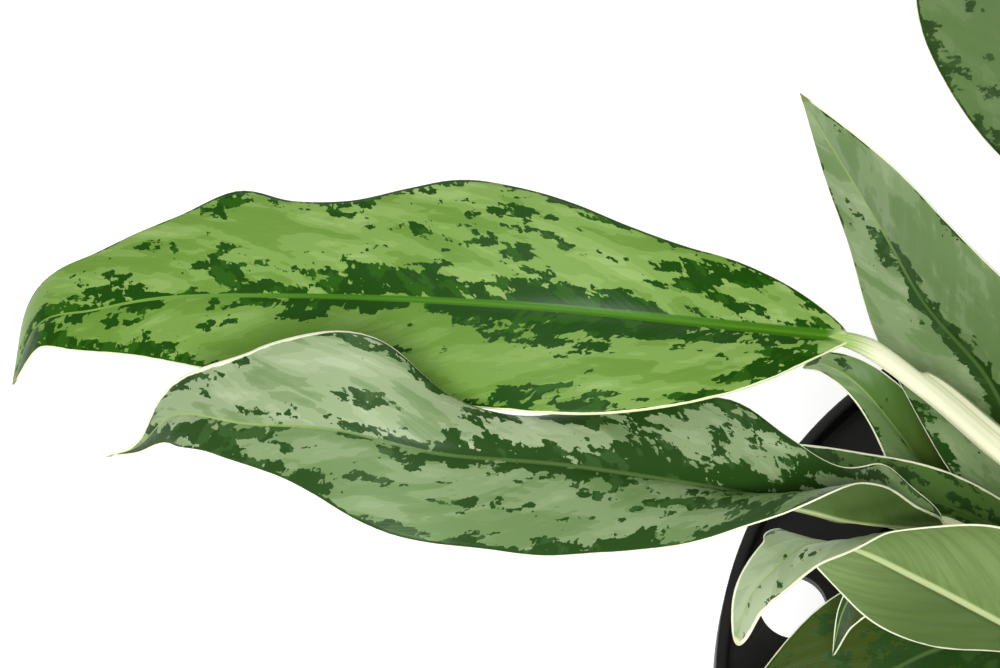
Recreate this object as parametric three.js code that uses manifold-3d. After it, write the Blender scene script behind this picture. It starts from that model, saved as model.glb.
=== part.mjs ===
// A potted Chinese evergreen (Aglaonema) with silver-green, dark-flecked leaves.
// Millimetres, +Z up, origin at the middle of the pot's flat underside.
// One node per piece: the pot, the soil, three canes, every leaf (its blade and
// petiole grow as one piece) and the rolled new leaf at the top of each cane.

import * as THREE from 'three';
import { mergeVertices } from 'three/addons/utils/BufferGeometryUtils.js';
import Module from 'manifold-3d';

const wasm = await Module();
wasm.setup();

const { degToRad, lerp, clamp } = THREE.MathUtils;
const vector = ([x, y, z]) => new THREE.Vector3(x, y, z);

// ---------------------------------------------------------------- dimensions

const POT = {
  height: 165,
  rimRadius: 115,
  lipWidth: 3.2,
  ledgeHeight: 157,
  ledgeThickness: 2.6,
  wellRadius: 84,
  wall: 2.8,
  footRadius: 70,
  footRounding: 4,
  floor: 3.5,
  bevel: 1,
  liftHoles: 4,
  liftHoleRadius: 9,
  liftHoleRing: 97,
  firstLiftHole: 163,
  drainHoles: 6,
  drainHoleRadius: 5,
  drainHoleRing: 46,
  facets: 48,
};

const SOIL = { top: 149, mound: 2, shoulder: 0.6, facets: 48 };

// The gap left between pieces that touch.
const GAP = 0.35;

// A blade is thickest along its midrib; its mesh runs from first to last of the
// midrib's length, and crowding gathers the rows towards both ends.
const BLADE = {
  thickness: 1, edge: 0.6, first: 0.012, last: 0.992, rows: 12, columns: 2, crowding: 0.6,
};

// Half-sizes of a petiole, and of the sheath at its foot, which keeps to the cane
// for its rise; it narrows to slim where it runs into the blade.
const PETIOLE = {
  width: 2.4, depth: 2.1, sheath: 3.4, sheathEnd: 0.45, rise: 8, lean: 0.14, sides: 6, steps: 9,
  overlap: 0.06, slimFrom: 0.9, slim: 0.5,
};

// Rings along a cane, every other one a swollen old leaf scar.
const SCARS = { rings: 8, swell: 0.2 };

// Each cane: its foot in the soil, its top, and its radius at each end.
const CANES = {
  tall: { foot: [2, 14, 106], top: [5, 16, 212], radius: 6.5, tip: 5, sides: 12 },
  front: { foot: [6, -20, 110], top: [4, -24, 184], radius: 5.5, tip: 4.2, sides: 10 },
  back: { foot: [-2, 46, 112], top: [-3, 50, 178], radius: 5, tip: 4, sides: 10 },
};

// Rolled new leaves: girth at the foot as a share of the swell, and at the point.
const ROLLED = { rings: 12, sides: 10, foot: 0.35, point: 0.5, fullness: 0.7 };

// The rolled new leaf that stands on each cane: length, lean and heading.
const SPEARS = {
  tall: { length: 104, radius: 3.6, lean: 14, heading: 35 },
  front: { length: 78, radius: 3, lean: 20, heading: -60 },
  back: { length: 70, radius: 2.8, lean: 16, heading: 60 },
};

// Leaf blades. mid: points along the midrib from base to tip; face: where the
// upper surface looks, base to tip; half: widest half-width, left and right of
// the midrib; shape: fullness towards base and tip; fold and curl: how far each
// half is lifted at the midrib, and bends on the way to the margin, in degrees;
// wide: a factor on the width, from base to tip; ripple: wave height of the
// margin, waves along the leaf and phase. joins: the cane, height and side where
// the petiole leaves it; via: points that the petiole passes.
const LEAVES = {
  leaf_long_left: {
    mid: [[-91, 49, 268], [-125, 47, 279], [-157, 49, 282], [-188, 54, 277], [-218, 60, 268],
      [-246, 64, 260], [-265, 65, 252], [-279, 65, 245], [-287, 56, 231]],
    face: [[0.3, -0.1, 1], [0, -0.1, 1], [0, -0.1, 1], [-0.4, -0.1, 1], [-1, 0, 0.5]],
    half: [27, 27],
    shape: [0.62, 0.72],
    fold: [[26, 20, 10, 8, 10], [30, 20, 14, 12, 10]],
    curl: [[-10, -24, -38, -32, -14], [-22, -30, -30, -26, -20]],
    wide: [[0.53, 0.95, 1.06, 0.94, 0.84, 0.8, 0.72, 0.63, 0.7],
      [0.68, 0.82, 0.86, 0.84, 0.9, 1.02, 1.1, 1.14, 1.05, 0.94, 0.97, 1.15, 0.99, 0.94, 0.95,
        0.95, 0.95]],
    rows: 18,
    joins: ['tall', 182, 150],
    via: [[-30, 32, 212], [-51, 40, 228], [-72, 46, 250]],
    sheathEnd: 0.74,
  },
  leaf_left_drooping: {
    mid: [[-64, 25, 218], [-76, 21, 228], [-89, 18, 238], [-102, 17, 248],
      [-126, 16, 261], [-156, 14, 276], [-183, 12, 286], [-204, 17, 287],
      [-225, 22, 280], [-241, 29, 270], [-251, 27, 258], [-260, 29, 248]],
    face: [[0.3, -0.1, 1], [0.2, -0.1, 1], [0, -0.2, 1], [-0.3, -0.2, 1], [-0.8, 0, 0.6]],
    half: [27, 27],
    shape: [0.6, 0.8],
    fold: [[112, 110, 84, 30, 16, 12, 10, 8, 8], [50, 52, 52, 40, 30, 22, 16, 12, 10]],
    curl: [[-10, -10, -16, -20, -20, -20, -20, -16, -10],
      [-20, -20, -30, -60, -90, -60, -30, -20, -20]],
    wide: [[0.5, 0.5, 0.68, 0.84, 0.96, 0.7, 0.67, 0.72, 0.79, 0.77, 0.78, 0.7, 0.54, 0.47, 0.57,
      0.26, 0.15],
      [0.67, 0.69, 0.79, 0.52, 0.62, 0.79, 0.66, 0.57, 0.47, 0.53, 0.71, 1.01, 1.01, 0.91, 0.67,
        0.26, 0.12]],
    rows: 18,
    columns: 3,
    joins: ['tall', 158, 212],
    via: [[-24, 14, 189], [-46, 20, 209]],
  },
  leaf_back_left_upright: {
    mid: [[-24, 40, 176], [-38, 49, 202], [-52, 58, 230], [-71, 63, 258], [-85, 68, 285],
      [-107, 77, 325]],
    face: [[-0.2, -0.6, 0.7], [-0.3, -0.6, 0.6], [-0.4, -0.6, 0.6], [-0.5, -0.6, 0.6]],
    half: [15, 22],
    shape: [0.7, 1],
    fold: [[24, 22, 20, 14], [24, 22, 20, 14]],
    curl: [[-15, -15, -10], [-15, -15, -10]],
    wide: [[1.6, 1.5, 1.4, 1.28, 1.07, 0.89, 0.8, 0.8, 0.7],
      [1, 1.05, 1.12, 1.22, 1.33, 1.32, 1.2, 1.38, 1.5]],
    joins: ['back', 152, 203],
    via: [],
  },
  leaf_back_tall: {
    mid: [[-19, 98, 252], [-41, 97, 297], [-62, 92, 342], [-77, 84, 382], [-87, 78, 412]],
    face: [[0.2, -0.8, 0.5], [0.1, -0.8, 0.5], [0, -0.8, 0.5]],
    half: [26, 26],
    shape: [0.7, 0.9],
    fold: [[22, 16, 12], [18, 14, 12]],
    curl: [[-15, -15, -10], [-15, -15, -10]],
    wide: [[1, 0.94, 0.93, 1.03, 1], [1, 1, 1, 1, 1]],
    joins: ['tall', 168, 105],
    via: [[-16, 38, 198], [-21, 66, 226]],
  },
  leaf_left_low: {
    mid: [[-26, 30, 160], [-40, 38, 173], [-56, 45, 188], [-70, 57, 203], [-80, 65, 212],
      [-88, 71, 212], [-93, 74, 205]],
    face: [[0.3, -0.3, 1], [0.2, -0.3, 1], [0, -0.3, 1], [-0.6, -0.3, 1]],
    half: [13, 10],
    shape: [0.7, 0.8],
    fold: [[40, 40, 40, 20], [30, 20, 16, 12]],
    curl: [[-25, -25, -20], [-15, -15, -10]],
    wide: [[0.8, 1.15, 1.15, 0.5, 0.5], [1, 1, 1, 1, 1]],
    joins: ['back', 153, 262],
    via: [],
  },
  leaf_left_inner: {
    mid: [[-27, 30, 184], [-46, 34, 196], [-64, 37, 206], [-82, 40, 210], [-98, 47, 206],
      [-110, 55, 196]],
    face: [[0.2, -0.1, 1], [0.1, -0.1, 1], [0, -0.1, 1], [-0.5, -0.1, 1]],
    half: [11, 8],
    shape: [0.7, 0.8],
    fold: [[30, 20, 16, 12], [40, 30, 20, 10]],
    curl: [[-15, -15, -10], [-15, -15, -10]],
    joins: ['tall', 152, 142],
    via: [],
  },
  leaf_curled: {
    mid: [[-20, -1, 178], [-36, 3, 195], [-50, 5, 207], [-70, 10, 220], [-88, 14, 231],
      [-99, 12, 237], [-106, 7, 236], [-112, 3, 226], [-114, -3, 212]],
    face: [[0.2, 0.87, -0.4], [0.2, 0.87, -0.4], [0.2, 0.87, -0.4], [0.2, 0.87, -0.4],
      [0.2, 0.87, -0.4], [0.2, 0.87, -0.1], [-0.1, 0.5, 0.8], [-0.6, -0.4, 0.6],
      [-0.7, -0.6, 0.3]],
    half: [21, 17],
    shape: [0.6, 0.5],
    fold: [[20, 20, 20, 14, 0], [-10, -10, -10, 0, 0]],
    curl: [[-60, -35, -35, -35, -10], [-15, -15, -10]],
    wide: [[1.41, 1.49, 1.49, 1.33, 1.05, 0.63, 0.41, 0.33, 0.33],
      [0.5, 0.5, 0.54, 0.87, 0.93, 0.78, 0.75, 0.44, 0.42]],
    rows: 18,
    columns: 4,
    joins: ['front', 156, 208],
    via: [],
  },
  leaf_small_hanging: {
    mid: [[-58, 21, 207], [-74, 18, 210], [-82, 15, 206], [-86, 11, 198], [-88, 3, 188]],
    face: [[0.2, -0.1, 1], [-0.3, -0.3, 1], [-0.8, -0.5, 0.2], [-0.9, -0.5, 0]],
    half: [7.5, 2],
    shape: [0.7, 0.8],
    fold: [[20, 20, 20], [20, 20, 20]],
    curl: [[-15, -15, -10], [-15, -15, -10]],
    joins: ['front', 168, 95],
    via: [[-3, 2, 187], [-20, 6, 192], [-40, 11, 199]],
  },
  leaf_front_left_low: {
    mid: [[-25, 14, 164], [-42, 14, 172], [-62, 8, 177], [-83, -4, 177], [-103, -18, 173],
      [-120, -32, 163]],
    face: [[0, -0.1, 1], [0, -0.1, 1], [-0.2, -0.2, 1], [-0.6, -0.3, 1]],
    half: [22, 19],
    shape: [0.65, 0.8],
    fold: [[20, 16, 12], [20, 16, 12]],
    curl: [[-15, -15, -10], [-15, -15, -10]],
    wide: [[1, 1], [1, 1, 1.18, 1.22, 1.12, 1.04, 1]],
    joins: ['front', 152, 145],
    via: [],
  },
};

// What the evenly arching leaves share: the droop gathers towards the tip, and
// the petiole passes two points on the arch.
const ARCH = {
  steps: 20,
  gather: 1.3,
  via: [0.35, 0.7],
  stations: [0, 0.2, 0.4, 0.6, 0.8, 1],
  shape: [0.62, 0.85],
  fold: [[38, 24, 16, 12], [38, 24, 16, 12]],
  curl: [[-16, -26, -26, -16], [-16, -26, -26, -16]],
};

// Leaves that arch out evenly. heading: compass direction from +X; rise: angle
// above level where the petiole leaves the cane's side; droop: how far the leaf
// bends down on its way; stalk and length: the petiole and the blade.
const ARCHING = {
  leaf_right_wide: {
    joins: ['tall', 175, -15], heading: -14, rise: 62, droop: 92, stalk: 108, length: 192, half: 33,
    ripple: [2.2, 3, 0.1],
  },
  leaf_right_middle: {
    joins: ['tall', 161, 20], heading: 12, rise: 48, droop: 74, stalk: 92, length: 172, half: 30,
    ripple: [2.2, 2.5, 0.8],
  },
  leaf_right_upright: {
    joins: ['tall', 193, -40], heading: -36, rise: 76, droop: 62, stalk: 84, length: 170, half: 29,
    ripple: [2, 3, 0.35],
  },
  leaf_back_right: {
    joins: ['tall', 187, 42], heading: 38, rise: 66, droop: 84, stalk: 112, length: 186, half: 32,
    ripple: [2, 2.5, 0.4],
  },
  leaf_back_upright: {
    joins: ['tall', 198, 100], heading: 80, rise: 78, droop: 52, stalk: 92, length: 176, half: 29,
    ripple: [1.8, 2.5, 0.2],
  },
  leaf_front_right: {
    joins: ['tall', 163, -75], heading: -62, rise: 60, droop: 98, stalk: 100, length: 180, half: 31,
    ripple: [2.4, 3, 0.7],
  },
  leaf_front_drooping: {
    joins: ['front', 169, -125], heading: -112, rise: 58, droop: 104, stalk: 74, length: 166, half: 29,
    ripple: [2.2, 3, 0.5],
  },
  leaf_front_middle: {
    joins: ['front', 155, -80], heading: -86, rise: 70, droop: 88, stalk: 82, length: 156, half: 27,
    ripple: [2, 2.5, 0.05],
  },
  leaf_front_low: {
    joins: ['front', 152, -28], heading: -38, rise: 40, droop: 62, stalk: 66, length: 148, half: 26,
    ripple: [1.8, 2.5, 0.9],
  },
  leaf_front_right_low: {
    joins: ['front', 168, 5], heading: -8, rise: 46, droop: 66, stalk: 74, length: 146, half: 25,
    ripple: [1.8, 3, 0.25],
  },
  leaf_back_low: {
    joins: ['back', 153, 100], heading: 84, rise: 62, droop: 90, stalk: 62, length: 148, half: 25,
    ripple: [1.8, 2.5, 0.3],
  },
  leaf_back_middle: {
    joins: ['back', 165, 40], heading: 56, rise: 56, droop: 72, stalk: 84, length: 158, half: 27,
    ripple: [2, 2.5, 0.65],
  },
  leaf_right_low: {
    joins: ['back', 152, 10], heading: 18, rise: 42, droop: 62, stalk: 76, length: 150, half: 26,
    ripple: [1.8, 3, 0.6],
  },
};

// ------------------------------------------------------------------ materials

const material = (color, roughness) => new THREE.MeshStandardMaterial({
  color, roughness, metalness: 0, side: THREE.FrontSide,
});

const BLACK_PLASTIC = material('#1d1c1a', 0.5);
const SOIL_BROWN = material('#3b2417', 0.95);
const CANE_GREEN = material('#8c9a5a', 0.6);
const LEAF_GREEN = material('#7fa35a', 0.42);
const LEAF_SILVER = material('#9db58a', 0.42);
const SPEAR_GREEN = material('#a9c47c', 0.45);

// --------------------------------------------------------------- solid helpers

function toSolid(geometry) {
  const bare = geometry.clone();
  bare.deleteAttribute('normal');
  bare.deleteAttribute('uv');
  const merged = mergeVertices(bare, 1e-4);
  return new wasm.Manifold(new wasm.Mesh({
    numProp: 3,
    vertProperties: new Float32Array(merged.attributes.position.array),
    triVerts: new Uint32Array(merged.index.array),
  }));
}

function toGeometry(solid) {
  const mesh = solid.getMesh();
  const geometry = new THREE.BufferGeometry();
  geometry.setAttribute('position', new THREE.BufferAttribute(mesh.vertProperties, 3));
  geometry.setIndex(new THREE.BufferAttribute(mesh.triVerts, 1));
  geometry.computeVertexNormals();
  return geometry;
}

function indexed(points, triangles) {
  const geometry = new THREE.BufferGeometry();
  geometry.setAttribute('position', new THREE.Float32BufferAttribute(
    points.flatMap((point) => point.toArray()), 3));
  geometry.setIndex(triangles.flat());
  return geometry;
}

// A shape drawn as (radius, height) pairs and turned about the Z axis.
function turned(profile, facets) {
  const outline = profile.map(([radius, height]) => new THREE.Vector2(radius, height));
  return new THREE.LatheGeometry(outline, facets).rotateX(Math.PI / 2);
}

// An upright cylinder standing on a ring about the Z axis, at an angle.
function uprightCylinder(radius, ring, turn, bottom, top) {
  return new THREE.CylinderGeometry(radius, radius, top - bottom, 20)
    .rotateX(Math.PI / 2)
    .translate(ring * Math.cos(turn), ring * Math.sin(turn), (bottom + top) / 2);
}

// A closed rod through rings of points, each ring given by a centre, two axes
// and the half-sizes along them.
function rod(stations, sides) {
  const points = [];
  for (const { centre, across, up, width, depth } of stations) {
    for (let k = 0; k < sides; k += 1) {
      const turn = 2 * Math.PI * k / sides;
      points.push(centre.clone()
        .addScaledVector(across, width * Math.cos(turn))
        .addScaledVector(up, depth * Math.sin(turn)));
    }
  }
  const first = points.push(stations[0].centre) - 1;
  const last = points.push(stations.at(-1).centre) - 1;
  const triangles = [];
  for (let k = 0; k < sides; k += 1) {
    const next = (k + 1) % sides;
    for (let ring = 0; ring < stations.length - 1; ring += 1) {
      const here = ring * sides;
      const beyond = here + sides;
      triangles.push([here + k, here + next, beyond + next]);
      triangles.push([here + k, beyond + next, beyond + k]);
    }
    const end = (stations.length - 1) * sides;
    triangles.push([first, next, k]);
    triangles.push([last, end + k, end + next]);
  }
  return indexed(points, triangles);
}

// --------------------------------------------------------------- pot and soil

function potGeometry() {
  const { height, rimRadius, lipWidth, ledgeHeight, wellRadius, wall, bevel } = POT;
  const { footRadius, footRounding, floor } = POT;
  const under = ledgeHeight - POT.ledgeThickness;
  const profile = [
    [0, 0],
    [footRadius - footRounding, 0],
    [footRadius - 0.3 * footRounding, 0.3 * footRounding],
    [footRadius, footRounding],
    [wellRadius + wall, under],
    [rimRadius - bevel, under],
    [rimRadius, under + bevel],
    [rimRadius, height - bevel],
    [rimRadius - bevel, height],
    [rimRadius - lipWidth + bevel, height],
    [rimRadius - lipWidth, height - bevel],
    [rimRadius - lipWidth, ledgeHeight],
    [wellRadius + bevel, ledgeHeight],
    [wellRadius, ledgeHeight - bevel],
    [footRadius - wall, floor],
    [0, floor],
  ];
  let pot = toSolid(turned(profile, POT.facets));
  for (let k = 0; k < POT.liftHoles; k += 1) {
    const turn = degToRad(POT.firstLiftHole + 360 * k / POT.liftHoles);
    const cutter = uprightCylinder(POT.liftHoleRadius, POT.liftHoleRing, turn, under - 5, height);
    pot = pot.subtract(toSolid(cutter));
  }
  for (let k = 0; k < POT.drainHoles; k += 1) {
    const turn = degToRad(360 * k / POT.drainHoles);
    const cutter = uprightCylinder(POT.drainHoleRadius, POT.drainHoleRing, turn, -5, floor + 5);
    pot = pot.subtract(toSolid(cutter));
  }
  return toGeometry(pot);
}

// The inside radius of the pot's wall at a height.
function wellRadiusAt(height) {
  const share = (height - POT.floor) / (POT.ledgeHeight - POT.bevel - POT.floor);
  return lerp(POT.footRadius - POT.wall, POT.wellRadius, share);
}

function soilGeometry() {
  const bottom = POT.floor + GAP;
  const profile = [
    [0, bottom],
    [wellRadiusAt(bottom) - GAP, bottom],
    [wellRadiusAt(SOIL.top) - GAP, SOIL.top],
    [SOIL.shoulder * POT.wellRadius, SOIL.top + SOIL.shoulder * SOIL.mound],
    [0, SOIL.top + SOIL.mound],
  ];
  let soil = toSolid(turned(profile, SOIL.facets));
  for (const cane of Object.values(CANES)) {
    const pocket = caneStations(cane, GAP);
    pocket[0].centre.addScaledVector(caneAxis(cane).getTangent(0), -GAP);
    soil = soil.subtract(toSolid(rod(pocket, cane.sides)));
  }
  return toGeometry(soil);
}

// ---------------------------------------------------------------------- canes

function caneAxis(cane) {
  return new THREE.LineCurve3(vector(cane.foot), vector(cane.top));
}

// Rings along a cane, or along the pocket that holds it with room to spare.
function caneStations(cane, room = 0) {
  const axis = caneAxis(cane);
  const across = new THREE.Vector3(1, 0, 0).cross(axis.getTangent(0)).normalize();
  const up = axis.getTangent(0).cross(across);
  return Array.from({ length: SCARS.rings + 1 }, (unused, ring) => {
    const share = ring / SCARS.rings;
    const between = ring % 2 === 0 && room === 0 ? SCARS.swell : 0;
    const radius = lerp(cane.radius, cane.tip, share) - between + room;
    return { centre: axis.getPoint(share), across, up, width: radius, depth: radius };
  });
}

function caneRadiusAt(cane, height) {
  return lerp(cane.radius, cane.tip, (height - cane.foot[2]) / (cane.top[2] - cane.foot[2]));
}

function canePointAt(cane, height) {
  return caneAxis(cane).getPoint((height - cane.foot[2]) / (cane.top[2] - cane.foot[2]));
}

// A new leaf, still rolled, standing on the tip of its cane.
function spearGeometry(cane, spear) {
  const centre = vector(cane.top).addScaledVector(caneAxis(cane).getTangent(0), GAP);
  const heading = degToRad(spear.heading);
  const across = new THREE.Vector3(-Math.sin(heading), Math.cos(heading), 0);
  const stations = [];
  for (let ring = 0; ring <= ROLLED.rings; ring += 1) {
    const share = ring / ROLLED.rings;
    const lean = degToRad(spear.lean * share);
    const level = Math.sin(lean);
    const along = new THREE.Vector3(
      level * Math.cos(heading), level * Math.sin(heading), Math.cos(lean));
    const swell = Math.sin(Math.PI * lerp(ROLLED.foot, 1, share)) ** ROLLED.fullness;
    const radius = Math.max(ROLLED.point, spear.radius * swell);
    const up = along.clone().cross(across);
    stations.push({ centre: centre.clone(), across, up, width: radius, depth: radius });
    centre.addScaledVector(along, spear.length / ROLLED.rings);
  }
  return rod(stations, ROLLED.sides);
}

// --------------------------------------------------------------- leaf surfaces

// A smooth value from an evenly spaced list, s running from 0 to 1.
function smooth(values, s) {
  const last = values.length - 1;
  const place = clamp(s, 0, 1) * last;
  const i = Math.min(Math.floor(place), last - 1);
  const w = place - i;
  const before = i > 0 ? values[i - 1] : 2 * values[0] - values[1];
  const after = i + 2 <= last ? values[i + 2] : 2 * values[last] - values[last - 1];
  const slope = (values[i + 1] - before) / 2;
  const nextSlope = (after - values[i]) / 2;
  const step = values[i + 1] - values[i];
  return values[i] + w * (slope + w * (3 * step - 2 * slope - nextSlope
    + w * (slope + nextSlope - 2 * step)));
}

// Relative width along a blade: zero at both ends, one at its widest.
function outline(s, [towardsBase, towardsTip]) {
  const peak = towardsBase / (towardsBase + towardsTip);
  const height = peak ** towardsBase * (1 - peak) ** towardsTip;
  return s ** towardsBase * (1 - s) ** towardsTip / height;
}

class Blade {
  constructor(leaf) {
    this.leaf = leaf;
    this.midrib = new THREE.CatmullRomCurve3(leaf.mid.map(vector), false, 'catmullrom');
    this.facing = new THREE.CatmullRomCurve3(leaf.face.map(vector), false, 'catmullrom');
  }

  // Directions at s: along the midrib, out of the upper surface, and to the left.
  frame(s) {
    const before = this.midrib.getPointAt(Math.max(s - 0.001, 0));
    const along = this.midrib.getPointAt(Math.min(s + 0.001, 1)).sub(before).normalize();
    const up = this.facing.getPoint(clamp(s, 0, 1));
    up.addScaledVector(along, -up.dot(along)).normalize();
    return { along, up, left: up.clone().cross(along) };
  }

  // The point at s along the blade and v across it, -1 on the left margin, 1 on
  // the right: each half is an arc that starts at its fold and bends by its curl.
  point(s, v) {
    const { leaf } = this;
    const { up, left } = this.frame(s);
    const k = v < 0 ? 0 : 1;
    const out = Math.abs(v);
    const wide = leaf.wide ? smooth(leaf.wide[k], s) : 1;
    const width = leaf.half[k] * outline(s, leaf.shape) * wide;
    const fold = degToRad(smooth(leaf.fold[k], s));
    const curl = degToRad(smooth(leaf.curl[k], s));
    const across = width * (Math.sin(fold + curl * out) - Math.sin(fold)) / curl;
    const rise = width * (Math.cos(fold) - Math.cos(fold + curl * out)) / curl;
    const [height, waves, phase] = leaf.ripple ?? [0, 0, 0];
    const wave = height * Math.sin(2 * Math.PI * (waves * s + phase + 0.5 * k)) * out * out;
    return this.midrib.getPointAt(s)
      .addScaledVector(left, v < 0 ? across : -across)
      .addScaledVector(up, rise + wave * outline(s, leaf.shape));
  }

  normal(s, v) {
    if (v === 0) return this.frame(s).up;
    const inner = this.point(s, v * 0.98);
    const outer = this.point(s, v);
    const across = v < 0 ? inner.sub(outer) : outer.sub(inner);
    const along = this.point(Math.min(s + 0.004, 1), v).sub(this.point(Math.max(s - 0.004, 0), v));
    return across.cross(along).normalize();
  }

  // A thin closed solid, thickest at the midrib.
  geometry() {
    const rows = this.leaf.rows ?? BLADE.rows;
    const half = this.leaf.columns ?? BLADE.columns;
    const columns = 2 * half;
    const points = [[], []];
    for (let i = 0; i <= rows; i += 1) {
      const eased = lerp(i / rows, (1 - Math.cos(Math.PI * i / rows)) / 2, BLADE.crowding);
      const s = lerp(BLADE.first, BLADE.last, eased);
      for (let j = 0; j <= columns; j += 1) {
        const v = (j - half) / half;
        const lift = lerp(BLADE.thickness, BLADE.edge, Math.abs(v)) / 2;
        const normal = this.normal(s, v);
        points[0].push(this.point(s, v).addScaledVector(normal, lift));
        points[1].push(this.point(s, v).addScaledVector(normal, -lift));
      }
    }
    const top = (i, j) => i * (columns + 1) + j;
    const under = (i, j) => top(i, j) + points[0].length;
    const triangles = [];
    const quad = (a, b, c, d) => triangles.push([a, b, c], [a, c, d]);
    for (let i = 0; i < rows; i += 1) {
      for (let j = 0; j < columns; j += 1) {
        quad(top(i, j), top(i, j + 1), top(i + 1, j + 1), top(i + 1, j));
        quad(under(i, j), under(i + 1, j), under(i + 1, j + 1), under(i, j + 1));
      }
      quad(top(i, 0), top(i + 1, 0), under(i + 1, 0), under(i, 0));
      quad(top(i + 1, columns), top(i, columns), under(i, columns), under(i + 1, columns));
    }
    for (let j = 0; j < columns; j += 1) {
      quad(top(0, j + 1), top(0, j), under(0, j), under(0, j + 1));
      quad(top(rows, j), top(rows, j + 1), under(rows, j + 1), under(rows, j));
    }
    return indexed(points.flat(), triangles);
  }
}

// The outer face of a sheath's middle line, beside its cane.
function besideCane([name, height, side], rise) {
  const cane = CANES[name];
  const turn = degToRad(side);
  const outward = new THREE.Vector3(Math.cos(turn), Math.sin(turn), 0);
  const thickness = PETIOLE.depth * Math.cos(Math.PI / PETIOLE.sides);
  const away = caneRadiusAt(cane, height) + GAP + thickness + PETIOLE.lean * rise;
  return canePointAt(cane, height + rise).addScaledVector(outward, away);
}

// The petiole: a sheath beside the cane, then a stalk that runs into the blade
// along its midrib.
function petioleGeometry(leaf) {
  const blade = new Blade(leaf);
  const path = new THREE.CatmullRomCurve3([
    besideCane(leaf.joins, 0),
    besideCane(leaf.joins, PETIOLE.rise),
    ...leaf.via.map(vector),
    blade.midrib.getPointAt(0),
    blade.midrib.getPointAt(PETIOLE.overlap),
  ], false, 'centripetal');
  const turn = degToRad(leaf.joins[2]);
  const inwards = new THREE.Vector3(-Math.cos(turn), -Math.sin(turn), 0);
  const facing = blade.frame(0).up;
  const stations = Array.from({ length: PETIOLE.steps + 1 }, (unused, ring) => {
    const share = ring / PETIOLE.steps;
    const along = path.getTangentAt(share);
    const across = inwards.clone().lerp(facing, Math.sqrt(share)).cross(along).normalize();
    const sheath = Math.max(0, 1 - share / (leaf.sheathEnd ?? PETIOLE.sheathEnd));
    const end = clamp((share - PETIOLE.slimFrom) / (1 - PETIOLE.slimFrom), 0, 1);
    const slim = lerp(1, PETIOLE.slim, end);
    return {
      centre: path.getPointAt(share),
      across,
      up: along.clone().cross(across),
      width: lerp(PETIOLE.width, PETIOLE.sheath, sheath) * slim,
      depth: PETIOLE.depth * slim,
    };
  });
  return rod(stations, PETIOLE.sides);
}

// Works out the midrib of an arching leaf and the way its petiole goes.
function arched({ joins, heading, rise, droop, stalk, length, half, ripple }) {
  const turn = degToRad(heading);
  const step = (stalk + length) / ARCH.steps;
  const place = besideCane(joins, PETIOLE.rise);
  const path = [place.clone()];
  for (let i = 0; i < ARCH.steps; i += 1) {
    const angle = degToRad(rise - droop * ((i + 0.5) / ARCH.steps) ** ARCH.gather);
    const level = step * Math.cos(angle);
    place.x += level * Math.cos(turn);
    place.y += level * Math.sin(turn);
    place.z += step * Math.sin(angle);
    path.push(place.clone());
  }
  const curve = new THREE.CatmullRomCurve3(path);
  const base = stalk / (stalk + length);
  const at = (share) => curve.getPointAt(share).toArray();
  const x = Math.cos(turn);
  const y = Math.sin(turn);
  return {
    mid: ARCH.stations.map((share) => at(lerp(base, 1, share))),
    face: [[-x, -y, 1], [0, 0, 1], [x, y, 1]],
    half: [half, half],
    shape: ARCH.shape,
    fold: ARCH.fold,
    curl: ARCH.curl,
    ripple,
    joins,
    via: ARCH.via.map((share) => at(base * share)),
  };
}

function leafGeometry(leaf) {
  const blade = toSolid(new Blade(leaf).geometry());
  return toGeometry(blade.add(toSolid(petioleGeometry(leaf))));
}

// -------------------------------------------------------------------- assembly

const plant = new THREE.Group();

function add(name, geometry, surface) {
  const mesh = new THREE.Mesh(geometry, surface);
  mesh.name = name;
  plant.add(mesh);
}

add('pot', potGeometry(), BLACK_PLASTIC);
add('soil', soilGeometry(), SOIL_BROWN);

for (const [name, cane] of Object.entries(CANES)) {
  add(`cane_${name}`, rod(caneStations(cane), cane.sides), CANE_GREEN);
  add(`new_leaf_${name}`, spearGeometry(cane, SPEARS[name]), SPEAR_GREEN);
}

for (const [name, leaf] of Object.entries(LEAVES)) {
  add(name, leafGeometry(leaf), name === 'leaf_long_left' ? LEAF_GREEN : LEAF_SILVER);
}

for (const [name, given] of Object.entries(ARCHING)) {
  add(name, leafGeometry(arched(given)), LEAF_SILVER);
}

export default plant;
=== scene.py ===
"""A potted Chinese evergreen: leaves with their petioles, canes, rolled new leaves, soil and pot.

Every leaf has the midrib, facing and width numbers of its CAD solid, on a finer grid, with its
midrib groove, keel, side veins and a sheathed petiole. +Z is up. Sizes are in millimetres and
become metres in new_mesh.
"""
import math
from functools import reduce
from types import SimpleNamespace as Names

import bpy
import numpy as np
from mathutils import Euler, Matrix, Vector


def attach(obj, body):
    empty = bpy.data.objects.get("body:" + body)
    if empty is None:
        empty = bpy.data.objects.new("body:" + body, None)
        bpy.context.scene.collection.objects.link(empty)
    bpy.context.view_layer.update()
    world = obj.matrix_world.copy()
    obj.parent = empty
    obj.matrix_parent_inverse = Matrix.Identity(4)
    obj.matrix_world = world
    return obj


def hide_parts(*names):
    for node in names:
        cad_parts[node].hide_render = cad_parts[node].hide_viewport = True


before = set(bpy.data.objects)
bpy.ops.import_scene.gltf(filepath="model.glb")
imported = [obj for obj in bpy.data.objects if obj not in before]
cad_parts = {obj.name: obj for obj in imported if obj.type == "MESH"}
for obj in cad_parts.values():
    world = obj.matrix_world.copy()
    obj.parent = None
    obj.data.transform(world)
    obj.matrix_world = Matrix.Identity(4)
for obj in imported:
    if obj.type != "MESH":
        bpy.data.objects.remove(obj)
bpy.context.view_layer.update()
rng = np.random.default_rng(11)
MM = 0.001


def both(*values):
    """The same values for the left and the right half of a leaf."""
    return [list(values), list(values)]


# ---- dimensions, millimetres

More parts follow.
